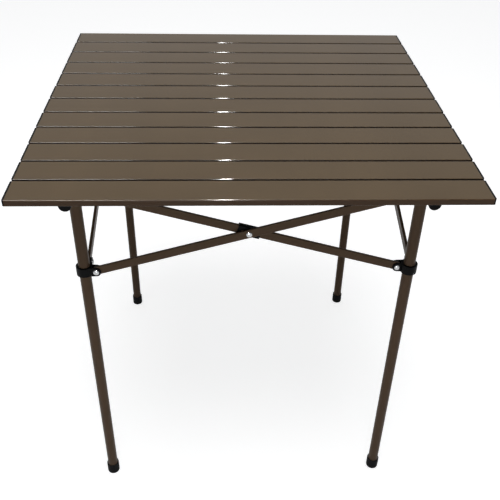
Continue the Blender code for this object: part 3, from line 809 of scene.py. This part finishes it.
def sleeve_mesh():
    """Plastic sleeve slid over the inner bar's middle."""
    half = Vector((SLEEVE_LENGTH, SLEEVE_WIDTH, SLEEVE_HEIGHT)) / 2
    outline = rounded_box(half.y, half.z, SLEEVE_EDGE, SLEEVE_EDGE)
    body = built(add_prism, outline, -half.x, half.x, "X")
    bore_y = SLOT_WIDTH / 2
    bore_z = BAR_HEIGHT / 2 + CLEARANCE
    reach = half.x + CUT_BEYOND
    bore = built(add_box, (-reach, -bore_y, -bore_z), (reach, bore_y, bore_z))
    hole = bmesh.new()
    add_cylinder(hole, RIVET_HOLE, -SLEEVE_WIDTH, SLEEVE_WIDTH, "Y", steps=SMALL_STEPS)
    return finished("sleeve", body, [("DIFFERENCE", bore), ("DIFFERENCE", hole)], MOULDED_EDGE)


def rivet_mesh(name, low, high):
    """Rivet along Y whose two domed heads start at low and high."""
    head = [(RIVET_HEAD_RADIUS, 0.0), (RIVET_HEAD_RADIUS, RIVET_RIM)]
    for i in range(1, CORNER_STEPS + 1):
        angle = math.pi / 2 * i / CORNER_STEPS
        rise = RIVET_RIM + (RIVET_HEAD_HEIGHT - RIVET_RIM) * math.sin(angle)
        head.append((RIVET_HEAD_RADIUS * math.cos(angle), rise))
    head[-1] = (0.0, RIVET_HEAD_HEIGHT)
    profile = [(r, low - rise) for r, rise in reversed(head)]
    profile += [(RIVET_RADIUS, low), (RIVET_RADIUS, high)]
    profile += [(r, high + rise) for r, rise in head]
    return finished(name, turned_along_y(profile, SMALL_STEPS))


# Meshes of the top

def slat_mesh(front, rear):
    """Hollow open-ended extrusion about its own middle, with holes for the cords in its front and
    rear walls."""
    half = TOP_HALF - PLUG_FLANGE
    wide, high = SLAT_WIDTH / 2 - SLAT_EASE, SLAT_THICKNESS / 2
    outer = rounded_box(wide, high, SLAT_TOP_RADIUS, SLAT_BOTTOM_RADIUS)
    inner = rounded_box(wide - SLAT_WALL, high - SLAT_WALL, SLAT_BORE_RADIUS, SLAT_BORE_RADIUS)
    steps = [("DIFFERENCE", built(add_prism, inner, -TOP_HALF, TOP_HALF, "X"))]
    holes = bmesh.new()
    near = -SLAT_WIDTH if front else 0.0
    far = SLAT_WIDTH if rear else 0.0
    for x in (-CORD_X, CORD_X):
        add_cylinder(holes, CORD_RADIUS + CLEARANCE, near, far, "Y", (x, 0.0), SMALL_STEPS)
    steps.append(("DIFFERENCE", holes))
    return finished("slat", built(add_prism, outer, -half, half, "X"), steps)


def add_plug_corners(bm, wide):
    """Cutters that round the flange's two upright corners, seen from above."""
    r, beyond = PLUG_CORNER, CUT_BEYOND
    curve = arc((TOP_HALF - r, wide - r), r, 0, 90, CORNER_STEPS)
    outline = [(TOP_HALF + beyond, wide - r)] + curve + [(TOP_HALF - r, wide + beyond)]
    outline.append((TOP_HALF + beyond, wide + beyond))
    add_prism(bm, outline, -SLAT_THICKNESS, SLAT_THICKNESS, "Z")
    add_prism(bm, [(x, -y) for x, y in outline], -SLAT_THICKNESS, SLAT_THICKNESS, "Z")


def plug_mesh():
    """End plug of a slat, facing +X about the slat's middle."""
    wide, high = SLAT_WIDTH / 2 - SLAT_EASE, SLAT_THICKNESS / 2
    inset = PLUG_FLANGE_INSET
    face = rounded_box(wide - inset, high - inset, SLAT_TOP_RADIUS, SLAT_BOTTOM_RADIUS)
    root = TOP_HALF - PLUG_FLANGE
    fit = SLAT_WALL + CLEARANCE
    body = rounded_box(wide - fit, high - fit, SLAT_BORE_RADIUS, SLAT_BORE_RADIUS)
    steps = [
        ("DIFFERENCE", built(add_plug_corners, wide - inset)),
        ("UNION", built(add_prism, body, root - PLUG_DEPTH, root + PLUG_FLANGE / 2, "X")),
    ]
    return finished("plug", built(add_prism, face, root, TOP_HALF, "X"), steps, PLUG_EDGE)


def cord_mesh(first, last):
    """Elastic cord along Y from one slat's middle to the next one's, about the gap between them,
    with close rings in the gap and a knot in the top's first or last slat."""
    half = SLAT_PITCH / 2
    neck = 180 - math.degrees(math.asin(CORD_RADIUS / KNOT_RADIUS))
    knot = [(v, half + u) for u, v in arc((0.0, 0.0), KNOT_RADIUS, neck, 0, CORNER_STEPS)]
    knot[-1] = (0.0, half + KNOT_RADIUS)
    plain = [(CORD_RADIUS, half), (0.0, half)]
    profile = [(r, -y) for r, y in reversed(knot if first else plain)]
    for i in range(CORD_BEND_STEPS + 1):
        profile.append((CORD_RADIUS, HALF_GAP * (2 * i / CORD_BEND_STEPS - 1)))
    profile += knot if last else plain
    return finished("cord", turned_along_y(profile, CORD_STEPS))


def hook_mesh():
    """Hook under an end slat that wraps the outer shoulder of the right rail, about the slat."""
    rail = RAIL_HEIGHT - SLAT_MIDDLE
    root = -SLAT_THICKNESS / 2
    start = math.degrees(math.acos(HOOK_INNER / TUBE_CLEAR))
    outline = [(HOOK_INNER, root)]
    outline += arc((0.0, rail), TUBE_CLEAR, start, -HOOK_WRAP, HALF_TURN_STEPS)
    outline += [(HOOK_OUTER, outline[-1][1]), (HOOK_OUTER, root)]
    half = HOOK_LENGTH / 2
    points = [(HALF_SPACING + u, v) for u, v in outline]
    return finished("hook", built(add_prism, points, -half, half, "Y"), (), MOULDED_EDGE)


def rail_cap_mesh():
    """End cap of a rail, facing +Y about the rail's middle, with a rounded head."""
    face = RAIL_END - RAIL_CAP_HEAD
    plug = TUBE_BORE - CLEARANCE
    edge = RAIL_CAP_EDGE
    profile = [(0.0, face - RAIL_CAP_DEPTH), (plug, face - RAIL_CAP_DEPTH), (plug, face)]
    profile += [(TUBE_RADIUS, face)]
    profile += arc((TUBE_RADIUS - edge, RAIL_END - edge), edge, 0, 90, CORNER_STEPS)
    profile += [(0.0, RAIL_END)]
    return finished("rail_cap", turned_along_y(profile, ROUND_STEPS))


# Pieces

def build_corners():
    leg = tube_mesh("leg", FOOT_FLOOR + CLEARANCE, SOCKET_END - CLEARANCE)
    foot = foot_mesh()
    collar = collar_mesh()
    hubs = {"Y": hub_mesh("Y"), "X": hub_mesh("X")}
    half = LUG_WIDTH / 2
    rivet = rivet_mesh("lug_rivet", -half, half)
    for k, corner in enumerate(CORNERS):
        turn, turned = quarter(k), quarter(k + 1)
        leg_body, collar_body = "leg_" + corner, "collar_" + corner
        ground = corner_point(k, 0.0, 0.0, 0.0)
        upper = corner_point(k, 0.0, 0.0, UPPER_PIVOT)
        lower = corner_point(k, 0.0, 0.0, LOWER_PIVOT)
        hub = hubs["Y" if k % 2 == 0 else "X"]
        placed("leg_tube_" + corner, leg, "frame", turn, ground, leg_body, "leg_" + corner)
        placed("foot_cap_" + corner, foot, "rubber", turn, ground, leg_body, "foot_" + corner)
        placed("hub_body_" + corner, hub, "plastic", turn, upper, leg_body, "hub_" + corner)
        name = "collar_body_" + corner
        placed(name, collar, "plastic", turn, lower, collar_body, "collar_" + corner)
        hub_pins = (
            ("a", turn, next_pivot(k, INNER, UPPER_PIVOT)),
            ("b", turned, previous_pivot(k, OUTER, UPPER_PIVOT)),
        )
        for mark, way, pin in hub_pins:
            placed("hub_rivet_%s_%s" % (corner, mark), rivet, "steel", way, pin, leg_body)
        collar_pins = (
            ("a", turn, next_pivot(k, OUTER, LOWER_PIVOT)),
            ("b", turned, previous_pivot(k, INNER, LOWER_PIVOT)),
        )
        for mark, way, pin in collar_pins:
            node = "collar_rivet_%s_%s" % (corner, mark)
            placed("domed_" + node, rivet, "steel", way, pin, collar_body, node)


def build_sides():
    bar = bar_mesh()
    sleeve = sleeve_mesh()
    outer_face = -2 * BAR_OFFSET - BAR_THICKNESS / 2 - CLEARANCE
    rivet = rivet_mesh("crossing_rivet", outer_face, SLEEVE_WIDTH / 2 + CLEARANCE)
    for k, side in enumerate(SIDES):
        rising = quarter(k) @ Matrix.Rotation(-BAR_SLOPE, 3, "Y")
        falling = quarter(k) @ Matrix.Rotation(BAR_SLOPE, 3, "Y")
        outer = corner_point(k, HALF_SPACING, OUTER * BAR_OFFSET, MIDDLE_PIVOT)
        inner = corner_point(k, HALF_SPACING, INNER * BAR_OFFSET, MIDDLE_PIVOT)
        outer_body, inner_body = "bar_%s_outer" % side, "bar_%s_inner" % side
        placed("flat_" + outer_body, bar, "frame", rising, outer, outer_body, outer_body)
        placed("flat_" + inner_body, bar, "frame", falling, inner, inner_body, inner_body)
        node = "crossing_sleeve_" + side
        placed("moulded_" + node, sleeve, "plastic", falling, inner, inner_body, node)
        node = "crossing_rivet_" + side
        placed("domed_" + node, rivet, "steel", falling, inner, inner_body, node)


def build_rails():
    end = RAIL_END - RAIL_CAP_HEAD - CLEARANCE
    rail = tube_mesh("rail", -end, end)
    cap = rail_cap_mesh()
    lying = Matrix.Rotation(math.radians(-90), 3, "X")
    for name, side in (("left", -1), ("right", 1)):
        axis = (side * HALF_SPACING, 0.0, RAIL_HEIGHT)
        body = "rail_" + name
        placed("rail_tube_" + name, rail, "frame", lying, axis, body, body)
        for place, turn in (("rear", quarter(0)), ("front", quarter(2))):
            node = "rail_cap_%s_%s" % (place, name)
            placed("round_" + node, cap, "plastic", turn, axis, body, node)


def build_slats():
    scatter = random.Random(SCATTER_SEED)
    inner = slat_mesh(front=True, rear=True)
    end_slats = {
        1: with_rim(slat_mesh(front=False, rear=True), -1),
        SLAT_COUNT: with_rim(slat_mesh(front=True, rear=False), 1),
    }
    plug = plug_mesh()
    hook = hook_mesh()
    ends = (("right", quarter(0)), ("left", quarter(2)))
    for number in range(1, SLAT_COUNT + 1):
        node = "slat_%02d" % number
        front_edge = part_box(node)[0].y
        shift = scatter.uniform(-SLAT_END_SCATTER, SLAT_END_SCATTER)
        middle = Vector((shift, front_edge + SLAT_WIDTH / 2, SLAT_MIDDLE))
        mesh = end_slats.get(number, inner)
        placed(node + "_extrusion", mesh, "slat", quarter(0), middle, node, node)
        for mark, turn in ends:
            placed("%s_plug_%s" % (node, mark), plug, "plastic", turn, middle, node)
        if number in end_slats:
            inwards = 1 if number == 1 else -1
            edge = middle.y - inwards * SLAT_WIDTH / 2
            place = Vector((0.0, edge + inwards * HOOK_INSET, SLAT_MIDDLE))
            for mark, turn in ends:
                placed("%s_hook_%s" % (node, mark), hook, "plastic", turn, place, node)


def build_cords():
    """Two elastic cords through the slats, each in eleven lengths, one about each gap."""
    slot, material = MATERIALS["elastic"]
    for number in range(1, SLAT_COUNT):
        mesh = cord_mesh(number == 1, number == SLAT_COUNT - 1)
        mesh.materials.append(material)
        gap = SLAT_PITCH * (number - SLAT_COUNT / 2)
        for side, x in (("left", -CORD_X), ("right", CORD_X)):
            thing = new_object("elastic_%s_%02d" % (side, number), mesh.copy())
            thing.location = (x, gap, SLAT_MIDDLE)
            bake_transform(thing)
            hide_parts("elastic_cord_" + side)


# Studio

def build_camera():
    yaw, pitch, roll = CAMERA_YAW, CAMERA_PITCH, CAMERA_ROLL
    level = math.cos(pitch)
    ahead = Vector((math.sin(yaw) * level, math.cos(yaw) * level, -math.sin(pitch)))
    level_right = Vector((math.cos(yaw), -math.sin(yaw), 0.0))
    level_down = ahead.cross(level_right)
    right = math.cos(roll) * level_right + math.sin(roll) * level_down
    down = math.cos(roll) * level_down - math.sin(roll) * level_right
    data = bpy.data.cameras.new("camera")
    data.sensor_width = SENSOR_WIDTH
    data.lens = CAMERA_LENS
    camera = new_object("camera", data)
    turn = Matrix((right, -down, -ahead)).transposed()
    camera.matrix_world = Matrix.Translation(CAMERA_PLACE) @ turn.to_4x4()
    bpy.context.scene.camera = camera


def build_floor():
    """Pale floor that keeps the object's shadow and throws only a part of its light back up."""
    half = FLOOR_HALF
    bm = bmesh.new()
    outline = [(-half, -half), (half, -half), (half, half), (-half, half)]
    bm.faces.new([bm.verts.new((x, y, 0.0)) for x, y in outline])
    floor = new_object("floor", to_mesh("floor", bm))
    material = bpy.data.materials.new("pale_floor")
    material.use_nodes = True
    nodes = Nodes(material.node_tree)
    seen = nodes.seen_by_eye()
    shader = nodes.tree.nodes["Principled BSDF"].inputs
    shader["Roughness"].default_value = FLOOR_ROUGHNESS
    shader["Specular IOR Level"].default_value = FLOOR_SPECULAR
    shader["Emission Color"].default_value = (FLOOR_GLOW, FLOOR_GLOW, FLOOR_GLOW, 1.0)
    nodes.link(nodes.mixed(seen, (FLOOR_BOUNCE,) * 3, (FLOOR_COLOUR,) * 3), shader["Base Color"])
    nodes.link(seen, shader["Emission Strength"])
    floor.data.materials.append(material)


def build_world():
    """Soft surroundings: a plain pale backdrop to the eye, which lights the object most from behind
    and least from overhead and from the sides."""
    world = bpy.data.worlds.new("studio")
    world.use_nodes = True
    bpy.context.scene.world = world
    nodes = Nodes(world.node_tree)
    x, y, z = nodes.split(nodes.add("TexCoord").outputs["Generated"])
    ramp = nodes.add("ValToRGB")
    elements = ramp.color_ramp.elements
    while len(elements) < len(WORLD_STOPS):
        elements.new(0.5)
    for element, (position, level) in zip(elements, WORLD_STOPS):
        element.position = position
        element.color = (*(level * share for share in WORLD_TINT), 1.0)
    nodes.link(z, ramp.inputs["Fac"])
    front = nodes.mapped(y, WORLD_FRONT, 1.0, WORLD_FRONT_FROM, WORLD_FRONT_TO)
    apart = nodes.combined("ABSOLUTE", x)
    side = nodes.mapped(apart, 1.0, WORLD_SIDE, WORLD_SIDE_FROM, WORLD_SIDE_TO)
    light = nodes.tree.nodes["Background"]
    nodes.link(ramp.outputs["Color"], light.inputs["Color"])
    nodes.link(nodes.combined("MULTIPLY", front, side), light.inputs["Strength"])
    backdrop = nodes.add("Background")
    backdrop.inputs["Color"].default_value = (*WORLD_SEEN, 1.0)
    choice = nodes.add("MixShader")
    nodes.link(nodes.seen_by_eye(), choice.inputs["Fac"])
    nodes.link(light.outputs["Background"], choice.inputs[1])
    nodes.link(backdrop.outputs["Background"], choice.inputs[2])
    nodes.link(choice.outputs["Shader"], nodes.tree.nodes["World Output"].inputs["Surface"])


def area_light(name, place, aim, size, watts, gloss_only=False):
    """Soft lamp: round where its size is one number, and otherwise a rectangle, wide and long."""
    data = bpy.data.lights.new(name, "AREA")
    if isinstance(size, tuple):
        data.shape = "RECTANGLE"
        data.size, data.size_y = size
    else:
        data.shape = "DISK"
        data.size = size
    data.energy = watts
    light = new_object(name, data)
    light.location = place
    light.visible_diffuse = not gloss_only
    light.visible_camera = False
    light.rotation_euler = (Vector(aim) - Vector(place)).to_track_quat("-Z", "Y").to_euler()


def lamp_over(name, place, size, watts):
    """Lamp that looks straight down on the top and that only its reflections show."""
    area_light(name, place, (place[0], place[1], TOP_HEIGHT), size, watts, gloss_only=True)


def build_lights():
    top = (0.0, 0.0, TOP_HEIGHT)
    area_light("overhead_softbox", (-0.05, -0.5, 2.9), top, size=2.0, watts=47.0)
    lamp_over("edge_strip", (-0.034, -0.6, 1.5), size=(0.024, 1.2), watts=44.0)
    lamp_over("edge_panel", (-0.75, -0.6, 2.5), size=(0.7, 1.0), watts=95.0)
    area_light("rivet_spark", (-0.5, -2.4, 1.7), (0.0, -0.3, 0.5), 0.8, 12.0, gloss_only=True)
    area_light("front_fill", (-0.1, -1.5, 0.55), (0.0, 0.0, 0.4), size=0.7, watts=3.8)


def build_studio():
    scene = bpy.context.scene
    scene.view_settings.view_transform = "Standard"
    build_camera()
    build_world()
    build_floor()
    build_lights()


build_corners()
build_sides()
build_rails()
build_slats()
build_cords()
build_studio()
